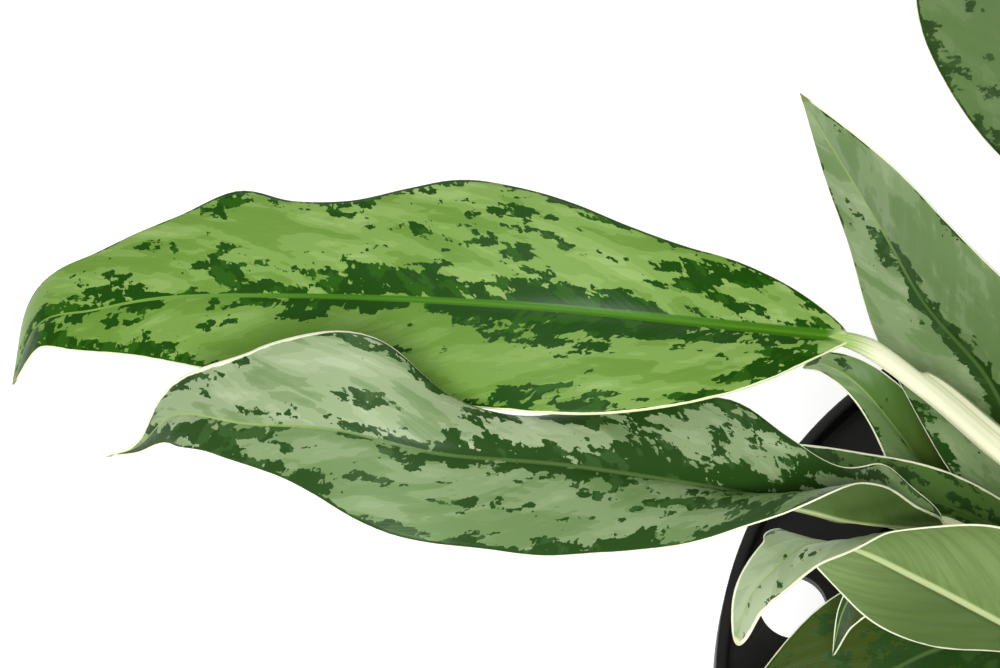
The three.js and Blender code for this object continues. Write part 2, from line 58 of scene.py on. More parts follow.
# Each cane runs straight from its foot to its top and narrows from its radius to its tip radius.
CANES = {
    "tall": Names(foot=[2, 14, 106], top=[5, 16, 212], radius=6.5, tip=5),
    "front": Names(foot=[6, -20, 110], top=[4, -24, 184], radius=5.5, tip=4.2),
    "back": Names(foot=[-2, 46, 112], top=[-3, 50, 178], radius=5, tip=4),
}

# The rolled new leaf on each cane bends over by its lean, in degrees, towards its heading.
SPEARS = {
    "tall": Names(length=104, radius=3.6, lean=14, heading=35),
    "front": Names(length=78, radius=3, lean=20, heading=-60),
    "back": Names(length=70, radius=2.8, lean=16, heading=60),
}

# A leaf has a midrib (mid) and, from base to tip, the way its upper side faces. Its outline
# follows the two powers in shape, to the half widths at left and right, changed by the factors
# in wide. Each half rises from the midrib by its fold and bends by its curl, in degrees. The
# petiole joins a cane at a height and side, and passes the points in via.
PLAIN_LEAF = dict(
    shape=[0.7, 0.8], curl=both(-15, -15, -10), wide=both(1, 1), via=[], ripple=[0, 0, 0],
    sheath_end=0.45)
LEAVES = {
    "long_left": dict(
        mid=[[-91, 49, 268], [-125, 47, 279], [-157, 49, 282], [-188, 54, 277], [-218, 60, 268],
          [-246, 64, 260], [-265, 65, 252], [-279, 65, 245], [-287, 56, 231]],
        face=[[0.3, -0.1, 1], [0, -0.1, 1], [0, -0.1, 1], [-0.4, -0.1, 1], [-1, 0, 0.5]],
        half=[27, 27], shape=[0.62, 0.72], fold=[[26, 20, 10, 8, 10], [30, 20, 14, 12, 10]],
        curl=[[-10, -24, -38, -32, -14], [-22, -30, -30, -26, -20]],
        wide=[[0.53, 0.95, 1.06, 0.94, 0.84, 0.8, 0.72, 0.63, 0.7],
          [0.68, 0.82, 0.86, 0.84, 0.9, 1.02, 1.1, 1.14, 1.05, 0.94, 0.97, 1.15, 0.99, 0.94,
          0.95, 0.95, 0.95]], joins=["tall", 182, 150],
        via=[[-30, 32, 212], [-51, 40, 228], [-72, 46, 250]], sheath_end=0.74),
    "left_drooping": dict(
        mid=[[-64, 25, 218], [-76, 21, 228], [-89, 18, 238], [-102, 17, 248], [-126, 16, 261],
          [-156, 14, 276], [-183, 12, 286], [-204, 17, 287], [-225, 22, 280], [-241, 29, 270],
          [-251, 27, 258], [-260, 29, 248]],
        face=[[0.3, -0.1, 1], [0.2, -0.1, 1], [0, -0.2, 1], [-0.3, -0.2, 1], [-0.8, 0, 0.6]],
        half=[27, 27], shape=[0.6, 0.8],
        fold=[[112, 110, 84, 30, 16, 12, 10, 8, 8], [50, 52, 52, 40, 30, 22, 16, 12, 10]],
        curl=[[-10, -10, -16, -20, -20, -20, -20, -16, -10], [-20, -20, -30, -60, -90, -60, -30,
          -20, -20]],
        wide=[[0.5, 0.5, 0.68, 0.84, 0.96, 0.7, 0.67, 0.72, 0.79, 0.77, 0.78, 0.7, 0.54, 0.47,
          0.57, 0.26, 0.15], [0.67, 0.69, 0.79, 0.52, 0.62, 0.79, 0.66, 0.57, 0.47, 0.53, 0.71,
          1.01, 1.01, 0.91, 0.67, 0.26, 0.12]], joins=["tall", 158, 212],
        via=[[-24, 14, 189], [-46, 20, 209]]),
    "back_left_upright": dict(
        mid=[[-24, 40, 176], [-38, 49, 202], [-52, 58, 230], [-71, 63, 258], [-85, 68, 285],
          [-107, 77, 325]],
        face=[[-0.2, -0.6, 0.7], [-0.3, -0.6, 0.6], [-0.4, -0.6, 0.6], [-0.5, -0.6, 0.6]],
        half=[15, 22], shape=[0.7, 1], fold=both(24, 22, 20, 14),
        wide=[[1.6, 1.5, 1.4, 1.28, 1.07, 0.89, 0.8, 0.8, 0.7],
          [1, 1.05, 1.12, 1.22, 1.33, 1.32, 1.2, 1.38, 1.5]], joins=["back", 152, 203]),
    "back_tall": dict(
        mid=[[-19, 98, 252], [-41, 97, 297], [-62, 92, 342], [-77, 84, 382], [-87, 78, 412]],
        face=[[0.2, -0.8, 0.5], [0.1, -0.8, 0.5], [0, -0.8, 0.5]], half=[26, 26],
        shape=[0.7, 0.9], fold=[[22, 16, 12], [18, 14, 12]],
        wide=[[1, 0.94, 0.93, 1.03, 1], [1, 1, 1, 1, 1]], joins=["tall", 168, 105],
        via=[[-16, 38, 198], [-21, 66, 226]]),
    "left_low": dict(
        mid=[[-26, 30, 160], [-40, 38, 173], [-56, 45, 188], [-70, 57, 203], [-80, 65, 212],
          [-88, 71, 212], [-93, 74, 205]],
        face=[[0.3, -0.3, 1], [0.2, -0.3, 1], [0, -0.3, 1], [-0.6, -0.3, 1]], half=[13, 10],
        fold=[[40, 40, 40, 20], [30, 20, 16, 12]],
        curl=[[-25, -25, -20], [-15, -15, -10]],
        wide=[[0.8, 1.15, 1.15, 0.5, 0.5], [1, 1, 1, 1, 1]], joins=["back", 153, 262]),
    "left_inner": dict(
        mid=[[-27, 30, 184], [-46, 34, 196], [-64, 37, 206], [-82, 40, 210], [-98, 47, 206],
          [-110, 55, 196]], face=[[0.2, -0.1, 1], [0.1, -0.1, 1], [0, -0.1, 1], [-0.5, -0.1, 1]],
        half=[11, 8], fold=[[30, 20, 16, 12], [40, 30, 20, 10]],
        joins=["tall", 152, 142]),
    "curled": dict(
        mid=[[-20, -1, 178], [-36, 3, 195], [-50, 5, 207], [-70, 10, 220], [-88, 14, 231],
          [-99, 12, 237], [-106, 7, 236], [-112, 3, 226], [-114, -3, 212]],
        face=5 * [[0.2, 0.87, -0.4]] + [[0.2, 0.87, -0.1], [-0.1, 0.5, 0.8], [-0.6, -0.4, 0.6],
          [-0.7, -0.6, 0.3]], half=[21, 17], shape=[0.6, 0.5],
        fold=[[20, 20, 20, 14, 0], [-10, -10, -10, 0, 0]],
        curl=[[-60, -35, -35, -35, -10], [-15, -15, -10]],
        wide=[[1.41, 1.49, 1.49, 1.33, 1.05, 0.63, 0.41, 0.33, 0.33],
          [0.5, 0.5, 0.54, 0.87, 0.93, 0.78, 0.75, 0.44, 0.42]], joins=["front", 156, 208]),
    "small_hanging": dict(
        mid=[[-58, 21, 207], [-74, 18, 210], [-82, 15, 206], [-86, 11, 198], [-88, 3, 188]],
        face=[[0.2, -0.1, 1], [-0.3, -0.3, 1], [-0.8, -0.5, 0.2], [-0.9, -0.5, 0]], half=[7.5, 2],
        fold=both(20, 20, 20), joins=["front", 168, 95],
        via=[[-3, 2, 187], [-20, 6, 192], [-40, 11, 199]]),
    "front_left_low": dict(
        mid=[[-25, 14, 164], [-42, 14, 172], [-62, 8, 177], [-83, -4, 177], [-103, -18, 173],
          [-120, -32, 163]], face=[[0, -0.1, 1], [0, -0.1, 1], [-0.2, -0.2, 1], [-0.6, -0.3, 1]],
        half=[22, 19], shape=[0.65, 0.8], fold=both(20, 16, 12),
        wide=[[1, 1], [1, 1, 1.18, 1.22, 1.12, 1.04, 1]], joins=["front", 152, 145]),
}

ARCH = Names(
    steps=20, gather=1.3, via=[0.35, 0.7], stations=[0, 0.2, 0.4, 0.6, 0.8, 1], shape=[0.62, 0.85],
    fold=both(38, 24, 16, 12), curl=both(-16, -26, -26, -16),
)

# These leaves arch evenly: where the petiole joins, heading, rise, droop, the lengths of stalk
# and blade, half width, and the height, number and phase of the waves along the margin.
ARCHING = {
    "right_wide": (["tall", 175, -15], -14, 62, 92, 108, 192, 33, [2.2, 3, 0.1]),
    "right_middle": (["tall", 161, 20], 12, 48, 74, 92, 172, 30, [2.2, 2.5, 0.8]),
    "right_upright": (["tall", 193, -40], -36, 76, 62, 84, 170, 29, [2, 3, 0.35]),
    "back_right": (["tall", 187, 42], 38, 66, 84, 112, 186, 32, [2, 2.5, 0.4]),
    "back_upright": (["tall", 198, 100], 80, 78, 52, 92, 176, 29, [1.8, 2.5, 0.2]),
    "front_right": (["tall", 163, -75], -62, 60, 98, 100, 180, 31, [2.4, 3, 0.7]),
    "front_drooping": (["front", 169, -125], -112, 58, 104, 74, 166, 29, [2.2, 3, 0.5]),
    "front_middle": (["front", 155, -80], -86, 70, 88, 82, 156, 27, [2, 2.5, 0.05]),
    "front_low": (["front", 152, -28], -38, 40, 62, 66, 148, 26, [1.8, 2.5, 0.9]),
    "front_right_low": (["front", 168, 5], -8, 46, 66, 74, 146, 25, [1.8, 3, 0.25]),
    "back_low": (["back", 153, 100], 84, 62, 90, 62, 148, 25, [1.8, 2.5, 0.3]),
    "back_middle": (["back", 165, 40], 56, 56, 72, 84, 158, 27, [2, 2.5, 0.65]),
    "right_low": (["back", 152, 10], 18, 42, 62, 76, 150, 26, [1.8, 3, 0.6]),
}

GAP = 0.35
NEAR = 0.001
PETIOLE = Names(
    width=2.4, depth=2.1, sheath=3.4, rise=8, lean=0.14, overlap=0.06, slim_from=0.86, slim=0.35,
    cad_sides=6, sides=44, steps=96, bunching=0.42, sink=2.8, channel=0.34, channel_width=30,
    channel_fades=1.1, wing=3.3, wing_angle=20, wing_spread=11, wing_starts=12, lobe_power=16,
    hidden_wing=0.15,
)
BLADE = Names(
    thickness=0.62, edge=0.34, first=0.003, last=0.999, rows=132, columns=44, crowding=0.6,
    column_power=1.15,
)
RELIEF = Names(
    groove=0.4, groove_width=1.6, groove_at_tip=0.25, groove_width_at_tip=0.45, keel=1.6,
    keel_width=1.25, keel_width_at_tip=0.4, keel_power=1.5, vein=0.09, vein_pitch=9.5,
    ripple_pitch=2.1, left_veins=0.4, calm_margin=4, calm_midrib=5, slant=0.8, slant_to_tip=1.5,
    sweep=0.035, waver=0.5, waver_length=11, rim_from=1.6, rim_width=3,
)
STEM = Names(
    ring=0.7, sides=40, scar_pitch=7.5, scar=0.3, scar_width=0.09, tilt=0.9, tilt_turns=9,
    dent=0.1, dent_place=0.62, dent_width=0.04,
)
ROLL = Names(
    rings=90, sides=64, fill=0.92, thinnest=0.25, foot=0.35, power=0.7, twist=2.2, inner=0.9,
    overlap=0.14, tip_share=0.97, trim=0.4, first_pattern=9000, next_pattern=300,
)
POT = Names(
    height=165, rim=115, lip=3.2, ledge=157, ledge_thickness=2.6, well=84, wall=2.8, foot=70,
    foot_rounding=4, floor=3.5, recess=2, recess_radius=56, foot_slope=3, inside_floor=4.5,
    bands=(40, 100), band_depth=0.6, band_height=5, band_edge=1, rounding=1.1, segments=168,
    hole_segments=48, sharp=38,
)
LIFT_HOLES = Names(count=4, radius=9, ring=97, first=163, low=140, high=175)
DRAIN_HOLES = Names(count=6, radius=5, ring=46, first=0, low=-10, high=20)
SOIL = Names(
    top=149, mound=2, over_wall=0.5, inset=1.2, sink=1.2, rings=46, segments=150, ring_power=0.9,
    waves=14, wave_heights=(0.2, 0.6), wave_turns=(0.08, 0.9), phases=20, roughness=0.55,
    below_top=0.1, foot_inset=1, above_floor=1.6, shade=0.25,
)
CHIPS = Names(
    count=1500, spread=0.97, sizes=[0.9, 1.3, 1.9, 2.7], of_size=[0.45, 0.3, 0.18, 0.07],
    shades=[0.1, 0.35, 0.7, 1.0], of_shade=[0.4, 0.3, 0.2, 0.1], lift=0.2, highest=2.2,
    flattest=0.35, turn=6.28, waist=1.15, ends=0.75, half_height=0.9, jitter=0.3,
)


# ---- curves

def around(points, t):
    """The four points about t, which runs from 0 to 1, and how far it is between the inner two."""
    p = np.asarray(points, float)
    spans = len(p) - 1
    p = np.vstack([2 * p[0] - p[1], p, 2 * p[-1] - p[-2]])
    place = np.clip(t, 0, 1) * spans
    i = np.minimum(place.astype(int), spans - 1)
    return p[i], p[i + 1], p[i + 2], p[i + 3], (place - i)[..., None]


def cubic(start, end, out, into, w):
    """The way from start to end that leaves along out and arrives along into, at w."""
    return start + w * (out + w * (3 * (end - start) - 2 * out - into
                                   + w * (2 * (start - end) + out + into)))


def catmull(points, t):
    """A uniform Catmull-Rom curve through points, at t from 0 to 1."""
    before, start, end, after, w = around(points, t)
    return cubic(start, end, (end - before) / 2, (after - start) / 2, w)


def smooth(values, s):
    """A smooth value from an evenly spaced list, s running from 0 to 1."""
    return catmull(np.asarray(values, float)[:, None], s)[..., 0]


def centripetal(points, t):
    """The centripetal Catmull-Rom curve, which rounds sharp turns without loops."""
    a, b, c, d, w = around(points, t)
    ab, bc, cd = (
        np.linalg.norm(way, axis=-1, keepdims=True) ** 0.5 for way in (b - a, c - b, d - c))
    out = ((b - a) / ab - (c - a) / (ab + bc) + (c - b) / bc) * bc
    into = ((c - b) / bc - (d - b) / (bc + cd) + (d - c) / cd) * bc
    return cubic(b, c, out, into, w)


def by_length(curve, points, samples=200):
    """The curve as a function of the share of its length, and that length."""
    t = np.linspace(0, 1, samples + 1)
    steps = np.linalg.norm(np.diff(curve(points, t), axis=0), axis=1)
    length = np.concatenate([[0], np.cumsum(steps)])
    return (lambda u: curve(points, np.interp(u * length[-1], length, t))), length[-1]


def unit(v):
    return v / np.linalg.norm(v, axis=-1, keepdims=True)


def tent(x, width):
    """1 at zero, falling away over width to both sides."""
    return np.exp(-(x / width) ** 2)


def blend(one, two, share):
    """From one at share 0 to two at share 1."""
    return one + (two - one) * share


def polar(radius, angle):
    return radius * np.cos(angle), radius * np.sin(angle)


def circle(count):
    """Evenly spaced angles once round, in radians."""
    return np.linspace(0, 2 * np.pi, count, endpoint=False)


def towards(degrees):
    """The level direction at an angle from +X."""
    return np.array([math.cos(math.radians(degrees)), math.sin(math.radians(degrees)), 0])


def stack(*values):
    """Arrays side by side along a new last axis, such as x, y and z."""
    return np.stack(values, -1)


def tube_faces(rings, sides):
    """Four-sided faces between rings of as many points as sides."""
    i, k = np.meshgrid(np.arange(rings - 1), np.arange(sides), indexing="ij")
    a, b = (i * sides + k).ravel(), (i * sides + (k + 1) % sides).ravel()
    return stack(a, b, b + sides, a + sides)


# ---- leaves

def outline(s, shape):
    """The share of its greatest half width that a leaf has at s, from 0 at its base to 1."""
    a, b = shape
    peak = a / (a + b)
    return s ** a * (1 - s) ** b / (peak ** a * (1 - peak) ** b)


class Blade:
    """A leaf's curved surface, without thickness. Half 0 is its left and half 1 its right."""

    def __init__(self, leaf):
        self.leaf = leaf
        self.midrib, self.length = by_length(catmull, leaf.mid)

    def frame(self, s):
        along = unit(self.midrib(np.minimum(s + NEAR, 1)) - self.midrib(np.maximum(s - NEAR, 0)))
        up = catmull(self.leaf.face, s)
        up = unit(up - (up * along).sum(-1, keepdims=True) * along)
        return along, up, np.cross(up, along)

    def width(self, s, k):
        return self.leaf.half[k] * outline(s, self.leaf.shape) * smooth(self.leaf.wide[k], s)

    def surface(self, s, v):
        """Points on the grid of s, from base to tip, and v, from left margin to right."""
        leaf = self.leaf
        _, up, left = self.frame(s)
        out = np.abs(v)
        height, waves, phase = leaf.ripple
        across = np.zeros((len(s), len(v)))
        rise = np.zeros_like(across)
        for k, side, half in ((0, 1, v < 0), (1, -1, v >= 0)):
            width = self.width(s, k)[:, None]
            fold = np.radians(smooth(leaf.fold[k], s))[:, None]
            curl = np.radians(smooth(leaf.curl[k], s))[:, None]
            turn = fold + curl * out
            wave = height * np.sin(2 * np.pi * (waves * s + phase + 0.5 * k))[:, None]
            lift = wave * out ** 2 * outline(s, leaf.shape)[:, None]
            across[:, half] = (side * width * (np.sin(turn) - np.sin(fold)) / curl)[:, half]
            rise[:, half] = (width * (np.cos(fold) - np.cos(turn)) / curl + lift)[:, half]
        middle = self.midrib(s)[:, None, :]
        return middle + left[:, None, :] * across[..., None] + up[:, None, :] * rise[..., None]


# How each leaf differs, every list running from base to tip, for its left and right half:
# the width of the pale line along the margin (trim), how dark the band beside that line is
# (rim), how dark the leaf is along the midrib (middle) and how far that reaches, and how
# silvery (above 0) or green (below 0) it is (tone). Below 0 the tone is partly painted shade:
# it darkens leaves that lie in shade, to olive below -2, and darkens the underside as well.
# Flecks makes the whole leaf darker.
PLAIN_LOOK = dict(
    trim=both(0.3, 0.3), rim=both(0.06, 0.06), middle=both(0.2, 0.2), reach=7, flecks=[0, 0],
    tone=both(0, 0))
LOOKS = {
    "long_left": dict(
        trim=[[0.5, 0.5, 0.35, 0.3, 0.25], [0.15, 0.12, 0.12]],
        rim=[[0.1, 0.06, 0.04, 0.04, 0.16, 0.24, 0.24], [0.1, 0.08, 0.1, 0.14, 0.1, 0.02, 0.02]],
        middle=[[0.1, 0.26, 0.26, 0.24, 0.2, 0.1], [0.1, 0.18, 0.26, 0.27, 0.24, 0.1]],
        flecks=[0.03, 0.06, 0, -0.01, 0],
        tone=[[0.4, 0, -0.9, -1.1, -0.6, -0.5], [0.8, 0.5, 0, 0, -0.2, -0.5]]),
    # fewer dark flecks where flecks and the right half's rim and middle dip near the base: a
    # painted highlight along the fold
    "left_drooping": dict(
        trim=[[0.5, 0.45, 0.25, 0.15, 0.12, 0.1, 0.1, 0.1, 0.1, 0.5],
          [0.3, 0.2, 0.15, 0.12, 0.12, 0.12, 0.12, 0.1, 0.6, 1.1, 1.1, 1.1]],
        rim=[[0.1, 0.22, 0.26, 0.26, 0.22, 0.22], [0.25, 0.1, 0.2, 0.28, 0.22, 0.16, 0.16, 0.16,
          0.14, 0.14, 0.1]],
        middle=[[0.16, 0.16, 0.16, 0.16, 0.14, 0.14], [0.3, 0.24, 0.36, 0.4, 0.3, 0.2, 0.14, 0.1,
          0.06, 0.03, 0]], flecks=[0.04, -0.08, 0.02, 0.05, 0.02, 0, 0, 0, 0],
        tone=[[-1, -0.9, -0.9, -0.8, -0.2], [-1, -0.5, 0.1, 0.4, 0.3]]),
    # its tone paints shade: the whole leaf greener and darker, the right half most
    "back_left_upright": dict(
        trim=[[0.3, 0.15, 0.1], [0.2, 0.15, 0.1]],
        rim=[[0.3, 0.3, 0.3, 0.2, 0.06, 0.04, 0.04, 0.1, 0.1], [0.04, 0.08]],
        middle=[[0.3, 0.4, 0.5, 0.6, 0.6, 0.6, 0.5, 0.4, 0, -0.5, -0.5],
          [0.4, 0.4, 0.5, 0.6, 0.65, 0.65, 0.6, 0.5, 0, -0.3, -0.3]], reach=3,
        flecks=[-0.15, -0.15], tone=[[-0.9, -0.4], [-1.5, -0.6]]),
    "back_tall": dict(trim=both(0.15, 0.15), rim=[[0.1, 0.16], [0.1, 0.1]], tone=both(-1.6, -1.6)),
    # its tone paints shade: the right half dark olive towards the base
    "left_low": dict(flecks=[-0.25, -0.25], tone=[[-1.2, -1.2, -0.4], [-4.6, -4.6, -0.4]]),
    # its tone paints shade: the whole leaf olive and darker
    "left_inner": dict(trim=[[0.3, 0.3], [0.5, 0.5]], flecks=[-0.05, -0.05], tone=both(-2.8, -2.8)),
    # the low tone of the right half paints shade on the underside of its lower, down-facing half
    "curled": dict(
        trim=[[0.4, 0.4, 0.42, 0.8], [0.36, 0.36, 0.42, 0.8]], middle=both(0, 0),
        flecks=[-0.08, -0.05], tone=[[0.5, 2.4], [-0.9, -0.9, -0.75, 1.2, 2.4]]),
    # its tone paints shade: the whole leaf dark olive
    "small_hanging": dict(tone=both(-5, -5)),
    # its tone paints shade: the whole leaf dark olive
    "front_left_low": dict(middle=[[0.2, 0.2], [0.25, 0.25]], reach=12, tone=both(-4.6, -4.6)),
}


NEXT_PATTERN = 400


def blade_mesh(leaf, name, number):
    """Vertices, faces and surface coordinates of a blade, upper and under side."""
    blade = Blade(leaf)
    rows, columns = BLADE.rows, BLADE.columns
    even = np.linspace(0, 1, rows + 1)
    eased = even + BLADE.crowding * ((1 - np.cos(np.pi * even)) / 2 - even)
    s = blend(BLADE.first, BLADE.last, eased)
    even = np.linspace(-1, 1, columns + 1)
    v = np.sign(even) * np.abs(even) ** BLADE.column_power
    points = blade.surface(s, v)
    normals = unit(np.cross(np.gradient(points, axis=1), np.gradient(points, axis=0)))
    reach = np.where(v < 0, blade.width(s, 0)[:, None], blade.width(s, 1)[:, None])
    across = v * reach
    out = np.abs(across)
    along = (s * blade.length)[:, None] + np.zeros_like(across)
    edge = reach * (1 - np.abs(v))
    fade = (1 - s[:, None]) ** 0.5
    calm = np.minimum(edge / RELIEF.calm_margin, 1) * np.minimum(out / RELIEF.calm_midrib, 1)
    wander = RELIEF.waver * np.sin(along / RELIEF.waver_length + number)
    slant = RELIEF.slant + RELIEF.slant_to_tip * s[:, None] + RELIEF.sweep * out
    vein = along - slant * out + np.where(v < 0, RELIEF.left_veins, 0) * RELIEF.vein_pitch
    veins = RELIEF.vein * calm * np.cos(2 * np.pi * vein / RELIEF.vein_pitch + wander)
    groove_width = RELIEF.groove_width * blend(RELIEF.groove_width_at_tip, 1, fade)
    dip = -RELIEF.groove * blend(RELIEF.groove_at_tip, 1, fade) * tent(out, groove_width)
    keel_width = RELIEF.keel_width * blend(RELIEF.keel_width_at_tip, 1, fade)
    keel = RELIEF.keel * fade ** RELIEF.keel_power * tent(out, keel_width)
    half = blend(BLADE.edge, BLADE.thickness, 1 - np.abs(v)) / 2
    top = points + normals * (half + veins + dip)[..., None]
    under = points + normals * (-half + veins - keel)[..., None]
    verts = np.concatenate([top.reshape(-1, 3), under.reshape(-1, 3)])
    grid = np.arange((rows + 1) * (columns + 1)).reshape(rows + 1, columns + 1)
    ring = stack(grid[:-1, :-1], grid[:-1, 1:], grid[1:, 1:], grid[1:, :-1]).reshape(-1, 4)
    faces = [ring, ring[:, ::-1] + grid.size]
    for rim, flip in ((grid[:, 0], 1), (grid[:, -1], -1), (grid[0], -1), (grid[-1], 1)):
        strip = stack(rim[:-1], rim[1:], rim[1:] + grid.size, rim[:-1] + grid.size)
        faces.append(strip[:, ::flip])
    look = Names(**PLAIN_LOOK | LOOKS.get(name, {}))
    shift = NEXT_PATTERN * number
    place = stack(along + shift, across, edge).reshape(-1, 3)
    share = stack(s[:, None] + 0 * across, vein + shift, 0 * across).reshape(-1, 3)
    trim, rim, middle, tone = (
        np.where(v < 0, smooth(left, s)[:, None], smooth(right, s)[:, None])
        for left, right in (look.trim, look.rim, look.middle, look.tone))
    flecks = (smooth(look.flecks, s)[:, None]
              + rim * np.clip(RELIEF.rim_from - edge / RELIEF.rim_width, 0, 1)
              + middle * tent(out, look.reach))
    mood = stack(trim, flecks, tone).reshape(-1, 3)
    fields = {"leaf_mm": np.concatenate([place, place]),
              "leaf_share": np.concatenate([share, share + [0, 0, 1]]),
              "leaf_mood": np.concatenate([mood, mood])}
    return verts, np.concatenate(faces), fields


def cane_at(cane, height):
    """A cane's axis and radius at a height."""
    foot, top = np.array([cane.foot, cane.top], float)
    share = (height - foot[2]) / (top[2] - foot[2])
    return blend(foot, top, share), blend(cane.radius, cane.tip, share)


def beside_cane(joins, rise):
    """The petiole's middle at its rise above the place where it joins its cane."""
    name, height, side = joins
    thickness = PETIOLE.depth * math.cos(math.pi / PETIOLE.cad_sides)
    _, radius = cane_at(CANES[name], height)
    place, _ = cane_at(CANES[name], height + rise)
    return place + towards(side) * (radius + GAP + thickness + PETIOLE.lean * rise)


def swept(centres, across, up, section):
    """A closed tube: section gives (across, up) offsets for every ring, rings by sides by 2."""
    rings, sides = section.shape[:2]
    verts = (centres[:, None, :] + across[:, None, :] * section[..., 0:1]
             + up[:, None, :] * section[..., 1:2]).reshape(-1, 3)
    ends = [range(sides)[::-1], range((rings - 1) * sides, rings * sides)]
    return verts, tube_faces(rings, sides), ends


def petiole_mesh(leaf):
    """The stalk from its cane to the blade, with a channel above and the sheath's two wings."""
    blade = Blade(leaf)
    ends = blade.midrib(np.array([0, PETIOLE.overlap]))
    path, _ = by_length(centripetal, [
        beside_cane(leaf.joins, 0), beside_cane(leaf.joins, PETIOLE.rise),
        *leaf.via, ends[0], ends[1]])
    share = np.linspace(0, 1, PETIOLE.steps + 1)
    centres = path(share)
    along = unit(path(np.minimum(share + NEAR, 1)) - path(np.maximum(share - NEAR, 0)))
    inwards = -towards(leaf.joins[2])
    facing = blade.frame(np.zeros(1))[1][0]
    mix = np.sqrt(share)[:, None]
    across = unit(np.cross(inwards * (1 - mix) + facing * mix, along))
    up = np.cross(along, across)
    ending = np.clip((share - PETIOLE.slim_from) / (1 - PETIOLE.slim_from), 0, 1)
    centres = centres - up * (PETIOLE.sink * ending)[:, None]
    sheath = np.clip(1 - share / leaf.sheath_end, 0, 1)
    slim = blend(1, PETIOLE.slim, ending)
    width = blend(PETIOLE.width, PETIOLE.sheath, sheath) * slim
    depth = PETIOLE.depth * slim
    # more sides near the two wings of the sheath and in the channel between them
    theta = circle(PETIOLE.sides)
    theta = theta - PETIOLE.bunching * np.sin(2 * theta - np.pi)
    degrees = (np.degrees(theta) + 360) % 360
    channel = PETIOLE.channel * tent(degrees - 90, PETIOLE.channel_width)
    height = np.sqrt(np.clip(1 - (share / leaf.sheath_end) ** PETIOLE.lobe_power, 0, 1))
    lobes = PETIOLE.hidden_wing * tent(degrees - PETIOLE.wing_angle, PETIOLE.wing_spread)
    lobes = lobes + tent(degrees - 180 + PETIOLE.wing_angle, PETIOLE.wing_spread)
    wing = (PETIOLE.wing * height[:, None] * lobes
            * np.minimum(share * PETIOLE.wing_starts, 1)[:, None])
    squeeze = 1 - channel * np.clip(PETIOLE.channel_fades - share, 0, 1)[:, None]
    section = stack(
        (width[:, None] * squeeze + wing) * np.cos(theta),
        (depth[:, None] * squeeze + wing) * np.sin(theta))
    place = stack(np.repeat(share, len(theta)), np.tile(degrees / 360, len(share)), wing.ravel())
    return *swept(centres, across, up, section), place


def arched(joins, heading, rise, droop, stalk, length, half, ripple):
    """An evenly arching leaf, whose petiole and midrib follow one bending path."""
    ahead, up = towards(heading), np.array([0, 0, 1])
    share = (np.arange(ARCH.steps) + 0.5) / ARCH.steps
    angle = np.radians(rise - droop * share ** ARCH.gather)
    moves = (stalk + length) / ARCH.steps * stack(
        np.cos(angle) * ahead[0], np.cos(angle) * ahead[1], np.sin(angle))
    start = beside_cane(joins, PETIOLE.rise)
    path = np.vstack([start, start + np.cumsum(moves, axis=0)])
    curve, _ = by_length(centripetal, path)
    base = stalk / (stalk + length)
    return dict(
        mid=curve(base + (1 - base) * np.array(ARCH.stations)), face=[up - ahead, up, up + ahead],
        half=[half, half], shape=ARCH.shape, fold=ARCH.fold, curl=ARCH.curl, ripple=ripple,
        joins=joins, via=list(curve(base * np.array(ARCH.via))))


# ---- making pieces

def put(name, data):
    """A new object in the scene."""
    made = bpy.data.objects.new(name, data)
    bpy.context.scene.collection.objects.link(made)
    return made


def new_mesh(name, shapes):
    """One mesh from shapes of (points, quads, polygons), in mm."""
    faces, total = [], 0
    for points, quads, polygons in shapes:
        faces += (np.asarray(quads) + total).tolist()
        faces += [[int(c) + total for c in polygon] for polygon in polygons]
        total += len(points)
    mesh = bpy.data.meshes.new(name)
    mesh.from_pydata((np.concatenate([shape[0] for shape in shapes]) * MM).tolist(), [], faces)
    return mesh


def make_piece(name, parts, materials, replaced, smooth_shading=True):
    """One object from parts of (points, quads, polygons, attributes, material index)."""
    mesh = new_mesh(name, [part[:3] for part in parts])
    counts = [len(part[1]) + len(part[2]) for part in parts]
    mesh.polygons.foreach_set("material_index", np.repeat([part[4] for part in parts], counts))
    mesh.polygons.foreach_set("use_smooth", [smooth_shading] * sum(counts))
    for key in parts[0][3]:
        layer = mesh.attributes.new(key, "FLOAT_VECTOR", "POINT")
        values = np.concatenate([part[3][key] for part in parts])
        layer.data.foreach_set("vector", values.astype(np.float32).ravel())
    for material in materials:
        mesh.materials.append(material)
    mesh.validate()
    piece = put(name, mesh)
    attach(piece, "root")
    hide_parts(replaced)
    return piece


# ---- materials

